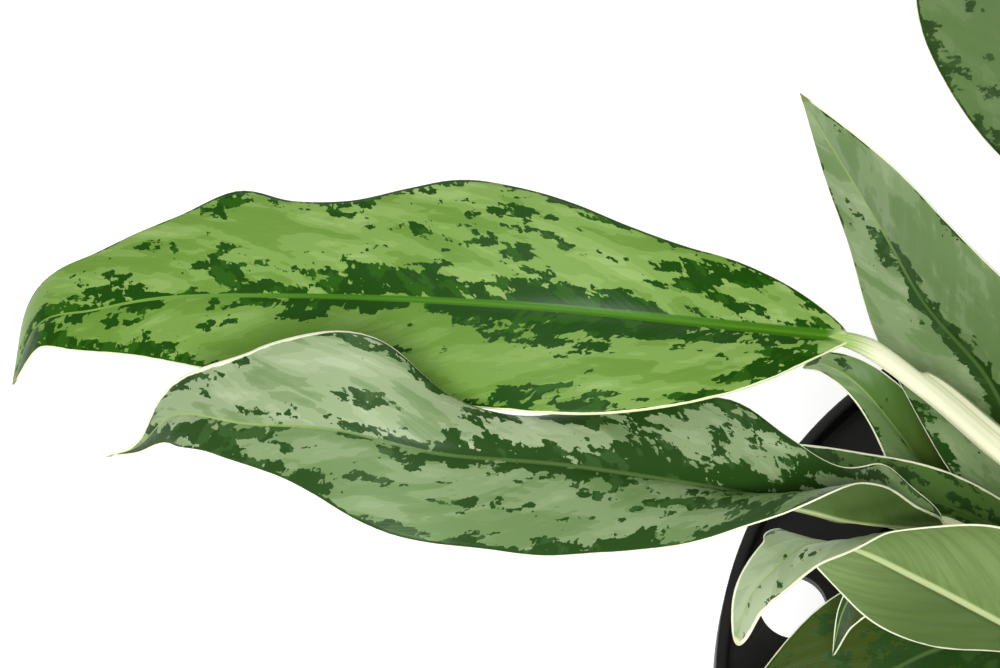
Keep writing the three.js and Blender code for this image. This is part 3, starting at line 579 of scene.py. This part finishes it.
class Shade:
    """A material under construction, with short ways to add nodes."""

    def __init__(self, name):
        self.material = bpy.data.materials.new(name)
        self.material.use_nodes = True
        self.tree = self.material.node_tree
        self.shader = self.tree.nodes["Principled BSDF"]

    def node(self, kind, **inputs):
        made = self.tree.nodes.new(kind)
        for key, value in inputs.items():
            self.feed(made.inputs[key.replace("_", " ")], value)
        return made

    def feed(self, socket, value):
        if isinstance(value, bpy.types.NodeSocket):
            self.tree.links.new(value, socket)
        else:
            socket.default_value = value

    def math(self, operation, *values, clamp=False):
        made = self.node("ShaderNodeMath")
        made.operation = operation
        made.use_clamp = clamp
        for i, value in enumerate(values):
            self.feed(made.inputs[i], value)
        return made.outputs[0]

    def add(self, *values):
        return reduce(lambda one, two: self.math("ADD", one, two), values)

    def times(self, *values):
        return reduce(lambda one, two: self.math("MULTIPLY", one, two), values)

    def less(self, value, taken):
        return self.math("SUBTRACT", value, taken)

    def step(self, value, low, high):
        """0 below low, 1 above high, smooth between (low above high reverses it)."""
        start, end = (1, 0) if low > high else (0, 1)
        made = self.node("ShaderNodeMapRange", Value=value, From_Min=min(low, high),
                         From_Max=max(low, high), To_Min=start, To_Max=end)
        made.interpolation_type = "SMOOTHSTEP"
        return made.outputs["Result"]

    def read(self, name):
        made = self.node("ShaderNodeAttribute")
        made.attribute_name = name
        return tuple(self.node("ShaderNodeSeparateXYZ", Vector=made.outputs["Vector"]).outputs)

    def vector(self, x, y, z):
        return self.node("ShaderNodeCombineXYZ", X=x, Y=y, Z=z).outputs[0]

    def noise(self, vector, scale=1.0, detail=3.0, roughness=0.5):
        made = self.node("ShaderNodeTexNoise", Vector=vector, Scale=scale, Detail=detail,
                         Roughness=roughness)
        return made.outputs["Fac"]

    def mix(self, factor, one, two):
        made = self.node("ShaderNodeMix")
        made.data_type = "RGBA"
        self.feed(made.inputs["Factor"], factor)
        for socket, value in zip(made.inputs[6:8], (one, two)):
            self.feed(socket, value if isinstance(value, bpy.types.NodeSocket) else colour(value))
        return made.outputs[2]

    def bump(self, height, distance, strength=1.0):
        made = self.node("ShaderNodeBump", Height=height, Distance=distance, Strength=strength)
        self.set(Normal=made.outputs[0])

    def set(self, **inputs):
        for key, value in inputs.items():
            self.feed(self.shader.inputs[key.replace("_", " ")], value)


def colour(rgb):
    """A linear colour from 0 to 255 display values."""
    values = [c / 255 for c in rgb]
    return [c / 12.92 if c <= 0.04045 else ((c + 0.055) / 1.055) ** 2.4 for c in values] + [1.0]


def blade_material(name, look):
    """Silver-green leaf: pale brush strokes and dark flecks that follow the side veins."""
    m = Shade(name)
    along, across, edge = m.read("leaf_mm")
    share, vein, under = m.read("leaf_share")
    trim, flecks, tone_and_shade = m.read("leaf_mood")
    out = m.math("ABSOLUTE", across)
    side = m.times(m.math("SIGN", across), 7.3)

    def cloud(x, x_scale, out_scale, apart=0.0, **noise):
        """Noise over x and the distance from the midrib, different on the two halves."""
        third = m.add(side, apart) if apart else side
        return m.noise(m.vector(m.times(x, x_scale), m.times(out, out_scale), third), **noise)

    # the broken edges: specks about a millimetre long that lie aslant
    slant = m.less(along, m.times(out, m.add(0.95, m.times(share, -0.8))))
    jag = m.less(cloud(slant, 0.5, 0.8, roughness=0.62), 0.5)
    # dark blotches, thick beside the midrib, thin across the wing and thick again at the rim
    sliver = cloud(slant, 0.75, 0.5, 80.0, detail=2)
    blot = cloud(slant, 0.052, 0.13)
    spots = cloud(slant, 0.15, 0.33, 30.0, detail=2)
    field = m.add(
        blot, m.times(jag, 0.36), m.times(m.less(spots, 0.5), 0.85), flecks,
        m.times(m.step(sliver, 0.54, 0.66), -0.1), m.times(m.step(edge, 0.9, 0.3), 0.17))
    dark = m.step(field, look.dark_at - 0.008, look.dark_at + 0.008)

    # the light ground: brush strokes in bands of tone, greener or paler as the leaf's tone says;
    # a low tone also paints shade, darker green and below -2 dark olive
    strokes = cloud(m.less(along, m.times(out, 0.45)), 0.042, 0.15, 15.0, roughness=0.55)
    aslant = cloud(vein, 0.1, 0.035, 45.0, roughness=0.55)
    tone = m.add(m.times(strokes, 0.6), m.times(aslant, 0.4), m.times(jag, 0.04),
                 m.times(tone_and_shade, 0.04))
    light = m.mix(m.step(tone, 0.455, 0.465), look.shade, look.plain)
    for low, high, strength, paint in (
            (0.53, 0.545, 0.6, look.pale), (0.58, 0.6, 0.35, look.palest),
            (0.435, 0.42, 0.25, look.green)):
        light = m.mix(m.times(m.step(tone, low, high), strength), light, paint)
    # painted shade: a low tone darkens the ground to green, and below -2 to dark olive
    light = m.mix(m.math("MULTIPLY", tone_and_shade, -0.42, clamp=True), light, look.green)
    light = m.mix(m.step(tone_and_shade, -2.0, -5.0), light, look.olive)
    depth = cloud(slant, 0.2, 0.2, 60.0)
    paint_dark = m.mix(m.times(m.step(depth, 0.54, 0.6), 0.6), look.dark, look.dark_soft)
    upper = m.mix(dark, light, paint_dark)

    # the midrib, which narrows towards the tip and has a pale line along it
    width = m.add(m.times(m.math("POWER", m.less(1.0, share), 1.3), look.rib), 0.16)
    nearness = m.math("DIVIDE", out, width)
    rib = m.mix(m.step(share, 0.55, 0.85), look.rib_colour, look.rib_tip)
    upper = m.mix(m.times(m.step(nearness, 1.2, 0.8), look.rib_strength), upper, rib)
    line = m.times(m.step(nearness, 0.5, 0.1), m.step(share, 0.9, 0.2), 0.35)
    upper = m.mix(line, upper, look.rib_pale)
    upper = m.mix(m.times(m.step(share, 0.03, 0.0), m.step(nearness, 1.5, 0.6)), upper, look.keel)

    # the underside, with thin dark threads along the side veins and a pale keel
    grain = cloud(vein, 0.3, 0.12, 25.0, detail=4)
    lower = m.mix(m.step(grain, 0.35, 0.65), look.under, look.under_pale)
    turns = m.times(vein, 2 * math.pi / RELIEF.vein_pitch)
    threads = m.math("SINE", m.add(turns, m.times(grain, 1.6)))
    lower = m.mix(m.times(m.step(threads, 0.975, 1.0), 0.3), lower, look.under_dark)
    # painted shade: a low tone darkens the underside, as on the lower half of the curled leaf
    lower = m.mix(m.math("MULTIPLY", tone_and_shade, -0.8, clamp=True), lower, look.under_deep)
    lower = m.mix(m.times(m.step(out, 1.0, 0.4), 0.75), lower, look.keel)

    # the pale line along the margin, and the tip
    paint = m.mix(m.step(under, 0.45, 0.55), upper, lower)
    wander = m.noise(m.vector(m.times(along, 0.22), side, 3.0))
    line = m.times(trim, m.add(0.35, m.times(wander, 1.3)))
    paint = m.mix(m.step(m.math("DIVIDE", edge, line), 1.15, 0.85), paint, look.margin)
    tip = m.mix(m.step(trim, 0.3, 0.8), look.tip_green, look.tip)
    paint = m.mix(m.step(share, 0.98, 0.99), paint, tip)

    pores = m.noise(m.vector(m.times(along, 2.6), m.times(across, 2.6), side), detail=2)
    ripple = m.math("SINE", m.times(vein, 2 * math.pi / RELIEF.ripple_pitch))
    m.bump(m.add(m.times(ripple, 0.12), m.times(jag, 0.5), m.times(pores, 0.35)), 0.00008, 0.5)
    m.set(Base_Color=paint, Roughness=m.add(look.roughness, m.times(jag, 0.15)),
          Specular_IOR_Level=look.gloss)
    return m.material


def petiole_material():
    """Cream, green at the blade and at its foot, with painted shade in the crease of its sheath."""
    m = Shade("petiole_cream")
    share, angle, wing = m.read("stalk")
    streaks = m.noise(m.vector(m.times(share, 5.0), m.times(angle, 55.0), 2.0))
    flush = m.step(m.add(share, m.times(m.less(streaks, 0.5), 0.12)), 0.84, 0.93)
    paint = m.mix(m.times(m.step(streaks, 0.3, 0.75), 0.4), STALK.cream, STALK.pale)
    paint = m.mix(flush, paint, STALK.flush)
    paint = m.mix(m.times(m.step(share, 0.14, 0.0), 0.5), paint, STALK.foot)
    # painted shade: the crease where each sheath wing leaves the stalk is darkened
    off_crease = m.math("DIVIDE", m.less(wing, 0.5), 0.25)
    crease = m.math("EXPONENT", m.times(off_crease, off_crease, -1.0))
    paint = m.mix(m.times(crease, 0.6), paint, STALK.crease)
    m.bump(streaks, 0.0001, 0.2)
    m.set(Base_Color=paint, Roughness=0.42, Specular_IOR_Level=0.4)
    return m.material


def cane_material():
    """Green bark with brown leaf scars."""
    m = Shade("cane_bark")
    share, ring, angle = m.read("cane")
    place = m.vector(m.times(angle, 6.0), m.times(share, 60.0), 1.0)
    bark = m.noise(place, detail=5, roughness=0.65)
    paint = m.mix(m.step(bark, 0.35, 0.65), BARK.green, BARK.pale)
    paint = m.mix(m.times(m.step(ring, 0.35, 0.9), 0.8), paint, BARK.scar)
    m.bump(bark, 0.0004, 0.6)
    m.set(Base_Color=paint, Roughness=0.62)
    return m.material


def pot_material():
    """Black plastic with a little dust."""
    m = Shade("pot_black_plastic")
    place = m.node("ShaderNodeTexCoord").outputs["Object"]
    speck = m.noise(place, scale=900.0, detail=2)
    dust = m.noise(place, scale=60.0, detail=4, roughness=0.6)
    m.bump(speck, 0.00015, 0.35)
    m.set(Base_Color=m.mix(m.step(dust, 0.45, 0.75), PLASTIC.black, PLASTIC.dusty),
          Roughness=m.add(0.42, m.times(dust, 0.2)), Specular_IOR_Level=0.28)
    return m.material


def soil_material():
    """Bark from dark to reddish brown, chip by chip."""
    m = Shade("soil_bark_mix")
    tone, _, _ = m.read("grain")
    place = m.node("ShaderNodeTexCoord").outputs["Object"]
    fine = m.noise(place, scale=420.0, detail=4, roughness=0.7)
    paint = m.mix(tone, CHIP_PAINT.dark, CHIP_PAINT.red)
    paint = m.mix(m.times(m.step(fine, 0.35, 0.7), 0.55), paint, CHIP_PAINT.crumb)
    m.bump(fine, 0.0008, 0.8)
    m.set(Base_Color=paint, Roughness=0.9, Specular_IOR_Level=0.2)
    return m.material


# Colours are display values from 0 to 255.
STALK = Names(
    cream=(241, 241, 206), pale=(250, 250, 226), flush=(138, 172, 84), foot=(186, 196, 142),
    # painted shade for the crease of the sheath
    crease=(190, 196, 142),
)
BARK = Names(green=(112, 122, 66), pale=(148, 152, 96), scar=(120, 92, 58))
PLASTIC = Names(black=(13, 12, 11), dusty=(24, 23, 20))
CHIP_PAINT = Names(dark=(44, 24, 16), red=(128, 74, 40), crumb=(24, 14, 10))
SILVER = dict(
    plain=(138, 157, 116), shade=(120, 142, 98), pale=(155, 171, 134), palest=(176, 189, 156),
    green=(82, 116, 54), olive=(56, 72, 14), dark=(36, 68, 20), dark_soft=(58, 90, 42),
    rib_colour=(72, 100, 48), rib_pale=(98, 126, 68), rib_tip=(144, 172, 96), rib=0.8,
    rib_strength=0.8, under=(103, 126, 69), under_pale=(115, 139, 81), under_dark=(76, 102, 46),
    under_deep=(62, 86, 34), keel=(196, 210, 152), margin=(236, 240, 206), tip=(218, 212, 168),
    tip_green=(122, 132, 64), dark_at=0.64, roughness=0.38, gloss=0.2,
)
# a yellower green copy of the leaf paint for the top leaf: partly its own colour, partly painted
# light shining through the thin leaf
BRIGHT_BACKLIT = dict(
    SILVER, plain=(114, 147, 70), shade=(100, 135, 55), pale=(131, 161, 88),
    palest=(152, 178, 112), green=(86, 124, 40), dark=(22, 64, 0), dark_soft=(40, 88, 6),
    rib_colour=(58, 108, 12), rib_pale=(92, 140, 36), rib_tip=(112, 148, 62), rib=1.45,
    rib_strength=1.0, tip=(110, 120, 60), margin=(226, 236, 182), dark_at=0.65, gloss=0.16,
)

blade_silver = blade_material("leaf_silver", Names(**SILVER))
blade_bright_backlit = blade_material("leaf_bright_backlit", Names(**BRIGHT_BACKLIT))
petiole_cream = petiole_material()

leaves = LEAVES | {name: arched(*given) for name, given in ARCHING.items()}
for number, (name, given) in enumerate(leaves.items()):
    leaf = Names(**PLAIN_LEAF | given)
    verts, quads, fields = blade_mesh(leaf, name, number)
    stalk_verts, stalk_quads, caps, stalk = petiole_mesh(leaf)
    blank = {key: np.zeros_like(stalk_verts) for key in fields}
    # the top leaf takes the copy with painted light shining through it
    bright = name == "long_left"
    make_piece(
        f"foliage_{name}",
        [(verts, quads, [], {**fields, "stalk": np.zeros_like(verts)}, 0),
         (stalk_verts, stalk_quads, caps, {**blank, "stalk": stalk}, 1)],
        [blade_bright_backlit if bright else blade_silver, petiole_cream],
        f"leaf_{name}")


# ---- canes and new leaves

cane_bark = cane_material()
for name, cane in CANES.items():
    foot, top = np.array([cane.foot, cane.top], float)
    length = np.linalg.norm(top - foot)
    along = (top - foot) / length
    across = unit(np.cross([1.0, 0, 0], along))
    up = np.cross(along, across)
    rings, sides = int(length / STEM.ring), STEM.sides
    share = np.linspace(0, 1, rings + 1)
    theta = circle(sides)
    tilt = STEM.tilt * np.sin(theta + share[:, None] * STEM.tilt_turns)
    scar = ((share[:, None] * length + tilt) / STEM.scar_pitch) % 1
    ridge = tent(scar - 0.5, STEM.scar_width)
    dent = tent(scar - STEM.dent_place, STEM.dent_width)
    radius = blend(cane.radius, cane.tip, share)[:, None] - STEM.scar
    radius = radius + STEM.scar * ridge - STEM.dent * dent
    across, up = (np.repeat(way[None], rings + 1, 0) for way in (across, up))
    verts, quads, caps = swept(
        blend(foot, top, share[:, None]), across, up, stack(*polar(radius, theta)))
    marks = stack(np.repeat(share, sides), ridge.ravel(), np.tile(theta, rings + 1))
    make_piece(
        f"stem_{name}", [(verts, quads, caps, {"cane": marks}, 0)], [cane_bark],
        f"cane_{name}")

for number, (name, spear) in enumerate(SPEARS.items()):
    foot, top = np.array([CANES[name].foot, CANES[name].top], float)
    ahead = towards(spear.heading)
    rings, sides = ROLL.rings, ROLL.sides
    share = np.linspace(0, 1, rings + 1)
    lean = np.radians(spear.lean * share)
    along = stack(np.sin(lean) * ahead[0], np.sin(lean) * ahead[1], np.cos(lean))
    across = np.repeat([[-ahead[1], ahead[0], 0]], rings + 1, 0)
    up = np.cross(along, across)
    step = spear.length / rings
    way = np.vstack([[0, 0, 0], np.cumsum(along[:-1] * step, 0)])
    centres = top + unit(top - foot) * GAP + way
    swell = np.sin(np.pi * blend(ROLL.foot, 1, share)) ** ROLL.power
    radius = np.maximum(ROLL.thinnest, spear.radius * ROLL.fill * swell)
    turn = np.linspace(0, 1, sides, endpoint=False)
    theta = 2 * np.pi * turn + ROLL.twist * share[:, None]
    roll = ROLL.inner + ROLL.overlap * turn ** 2
    verts, quads, caps = swept(centres, across, up, stack(*polar(radius[:, None] * roll, theta)))
    girth = (2 * np.pi * radius[:, None] * turn).ravel()
    edge = (2 * np.pi * radius[:, None] * (1 - turn)).ravel()
    shift = ROLL.first_pattern + ROLL.next_pattern * number
    along_mm = np.repeat(share * spear.length, sides) + shift
    none = 0 * girth
    fields = {
        "leaf_mm": stack(along_mm, girth, edge),
        "leaf_share": stack(np.repeat(share * ROLL.tip_share, sides), along_mm - girth, none + 1),
        "leaf_mood": stack(none + ROLL.trim, none, none),
    }
    make_piece(f"rolled_leaf_{name}", [(verts, quads, caps, fields, 0)],
               [blade_silver], f"new_leaf_{name}")


# ---- pot

def lathe(profile, segments):
    """A closed turned shape from (radius, height) pairs that start and end on the axis."""
    rings = np.array(profile[1:-1], float)
    x, y = polar(rings[:, 0:1], circle(segments))
    verts = stack(x, y, rings[:, 1:2] + 0 * x).reshape(-1, 3)
    verts = np.vstack([verts, [[0, 0, profile[0][1]], [0, 0, profile[-1][1]]]])
    first, last = len(verts) - 2, len(verts) - 1
    base, fans = (len(rings) - 1) * segments, []
    for k in range(segments):
        n = (k + 1) % segments
        fans += [[n, k, first], [base + k, base + n, last]]
    return verts, tube_faces(len(rings), segments), fans


def rounded(corners, radius, steps=4, most=0.45):
    """A profile whose inner corners are rounded by quadratic curves of that size, where each
    takes at most that share of a side."""
    corners = np.array(corners, float)
    points = [corners[0]]
    for before, corner, after in zip(corners, corners[1:], corners[2:]):
        back, on = before - corner, after - corner
        sides = np.linalg.norm(back), np.linalg.norm(on)
        cut = min(radius, most * sides[0], most * sides[1])
        start, end = corner + cut * back / sides[0], corner + cut * on / sides[1]
        for t in np.linspace(0, 1, steps + 1):
            points.append((1 - t) ** 2 * start + 2 * t * (1 - t) * corner + t ** 2 * end)
    return [*points, corners[-1]]


def pot_piece():
    """The nursery pot, turned as one profile and pierced by its lift and drain holes."""
    under = POT.ledge - POT.ledge_thickness
    outer = POT.well + POT.wall
    slope = (outer - POT.foot) / (under - POT.foot_rounding)
    bands = []
    depth, height, edge = POT.band_depth, POT.band_height, POT.band_edge
    for low in POT.bands:
        wall = POT.foot + slope * (low - POT.foot_rounding)
        bands += [(wall, low), (wall - depth, low + edge),
                  (wall - depth + (height - 2 * edge) * slope, low + height - edge),
                  (wall + height * slope, low + height)]
    inner, recess = POT.rim - POT.lip, POT.recess
    profile = rounded([
        (0, recess), (POT.recess_radius, recess), (POT.recess_radius + recess, 0),
        (POT.foot - POT.foot_slope, 0), (POT.foot, POT.foot_rounding), *bands,
        (outer, under), (POT.rim, under), (POT.rim, POT.height), (inner, POT.height),
        (inner, POT.ledge), (POT.well, POT.ledge),
        (POT.foot - POT.wall, POT.inside_floor), (0, POT.inside_floor),
    ], POT.rounding)
    verts, quads, fans = lathe(profile, POT.segments)
    pot = make_piece("nursery_pot", [(verts, quads, fans, {}, 0)], [pot_material()],
                     "pot")
    cutters = []
    for hole in (LIFT_HOLES, DRAIN_HOLES):
        verts, quads, fans = lathe([(0, hole.low), (hole.radius, hole.low),
                                    (hole.radius, hole.high), (0, hole.high)], POT.hole_segments)
        for k in range(hole.count):
            place = hole.ring * towards(hole.first + 360 * k / hole.count)
            cutters.append((verts + place, quads, fans))
    cutter = put("cutters", new_mesh("cutters", cutters))
    cut = pot.modifiers.new("holes", "BOOLEAN")
    cut.operation = "DIFFERENCE"
    cut.solver = "EXACT"
    cut.object = cutter
    ready = pot.evaluated_get(bpy.context.evaluated_depsgraph_get())
    pierced = bpy.data.meshes.new_from_object(ready)
    pot.modifiers.clear()
    pot.data = pierced
    bpy.data.objects.remove(cutter)
    pierced.polygons.foreach_set("use_smooth", [True] * len(pierced.polygons))
    pierced.set_sharp_from_angle(angle=math.radians(POT.sharp))


pot_piece()


# ---- soil

def chip(centre, size, turn, squash):
    """A rough bark chip: a squashed box with a wider ring round its middle."""
    corners = []
    for z in (-1, 0, 1):
        for x, y in ((-1, -1), (1, -1), (1, 1), (-1, 1)):
            bulge = CHIPS.waist if z == 0 else CHIPS.ends
            jitter = 1 + CHIPS.jitter * (rng.random(3) - 0.5)
            corner = np.array([x * bulge, y * bulge * squash, z * CHIPS.half_height])
            corners.append(corner * jitter)
    spun = np.array(corners) @ np.array(Euler(turn).to_matrix())
    return centre + spun * size, np.vstack([tube_faces(3, 4), [[3, 2, 1, 0], [8, 9, 10, 11]]])


def soil_piece():
    """A low mound of potting mix that fills the pot, and the chips that lie on it."""
    foot = POT.foot - POT.wall
    reach = SOIL.over_wall + foot + (POT.well - foot) * SOIL.top / POT.ledge - SOIL.inset
    rings, segments = SOIL.rings, SOIL.segments
    radii = np.linspace(0, 1, rings + 1)[1:] ** SOIL.ring_power * reach
    theta = circle(segments)
    r, a = np.meshgrid(radii, theta, indexing="ij")
    x, y = polar(r, a)
    waves = rng.uniform(*SOIL.wave_turns, (SOIL.waves, 4))
    bumps = sum(
        rng.uniform(*SOIL.wave_heights) * np.sin(x * fx + px) * np.sin(y * fy + py)
        for fx, fy, px, py in waves * [1, 1, SOIL.phases, SOIL.phases])
    crown = SOIL.top + SOIL.mound
    z = SOIL.top + SOIL.mound * (1 - (r / reach) ** 2) - SOIL.sink
    z = np.minimum(z + SOIL.roughness * bumps, crown - SOIL.below_top)
    top = stack(x, y, z).reshape(-1, 3)
    under = stack(*polar(foot - SOIL.foot_inset, theta), 0 * theta + POT.floor + SOIL.above_floor)
    verts = np.vstack([[[0, 0, float(z[0].mean())]], top, under])
    quads = 1 + tube_faces(rings + 1, segments)[:, [0, 3, 2, 1]]
    fans = [[0, 1 + k, 1 + (k + 1) % segments] for k in range(segments)]
    fans.append([1 + rings * segments + k for k in range(segments)][::-1])
    parts = [(verts, quads, fans, {"grain": np.tile([SOIL.shade, 0, 0], (len(verts), 1))}, 0)]
    for _ in range(CHIPS.count):
        radius = reach * CHIPS.spread * math.sqrt(rng.random())
        turn = rng.uniform(0, 2 * math.pi)
        size = rng.choice(CHIPS.sizes, p=CHIPS.of_size)
        row = min(int((radius / reach) ** (1 / SOIL.ring_power) * rings), rings - 1)
        column = int(turn / (2 * math.pi) * segments) % segments
        centre = np.array([
            radius * math.cos(turn), radius * math.sin(turn),
            min(z[row, column] + CHIPS.lift * size, SOIL.top + CHIPS.highest)])
        points, faces = chip(
            centre, size, rng.uniform(0, CHIPS.turn, 3), rng.uniform(CHIPS.flattest, 1))
        shade = rng.choice(CHIPS.shades, p=CHIPS.of_shade)
        grain = np.tile([shade, 0, 0], (len(points), 1))
        parts.append((points, faces, [], {"grain": grain}, 0))
    make_piece("bark_soil", parts, [soil_material()], "soil", smooth_shading=False)


soil_piece()


# ---- floor, light and camera

def make_floor(half=4.0):
    """A plain white square, half metres from its middle to each side."""
    mesh = bpy.data.meshes.new("floor")
    mesh.from_pydata([(-half, -half, 0), (half, -half, 0), (half, half, 0), (-half, half, 0)], [],
                     [(0, 1, 2, 3)])
    floor = put("floor", mesh)
    m = Shade("floor_white")
    m.set(Base_Color=(0.96, 0.96, 0.96, 1.0), Roughness=0.9, Specular_IOR_Level=0.1,
          Emission_Color=(1.0, 1.0, 1.0, 1.0), Emission_Strength=0.36)
    mesh.materials.append(m.material)


def area_light(name, place, target, size, watts):
    """A round soft lamp at a place, turned to a target. Metres and watts."""
    data = bpy.data.lights.new(name, "AREA")
    data.shape = "DISK"
    data.size = size
    data.energy = watts
    lamp = put(name, data)
    lamp.location = place
    lamp.rotation_euler = (Vector(target) - Vector(place)).to_track_quat("-Z", "Y").to_euler()


make_floor()
area_light("key", (-0.3, -1.2, 1.95), (-0.1, 0.05, 0.2), 1.2, 46)
area_light("back", (-0.1, 2.1, 1.0), (-0.1, 0.05, 0.25), 1.5, 12)
area_light("top", (-0.6, 0.5, 2.0), (-0.1, 0.0, 0.2), 1.2, 10)

world = bpy.data.worlds.new("studio")
world.use_nodes = True
background = world.node_tree.nodes["Background"]
background.inputs["Color"].default_value = (1, 1, 1, 1)
background.inputs["Strength"].default_value = 0.3
bpy.context.scene.world = world
bpy.context.scene.view_settings.view_transform = "Standard"

camera = bpy.data.cameras.new("camera")
camera.lens = 85
camera.sensor_width = 36
viewer = put("camera", camera)
viewer.location = (-0.1698, -0.1997, 0.738)
viewer.rotation_euler = (math.radians(28), 0, 0)
bpy.context.scene.camera = viewer
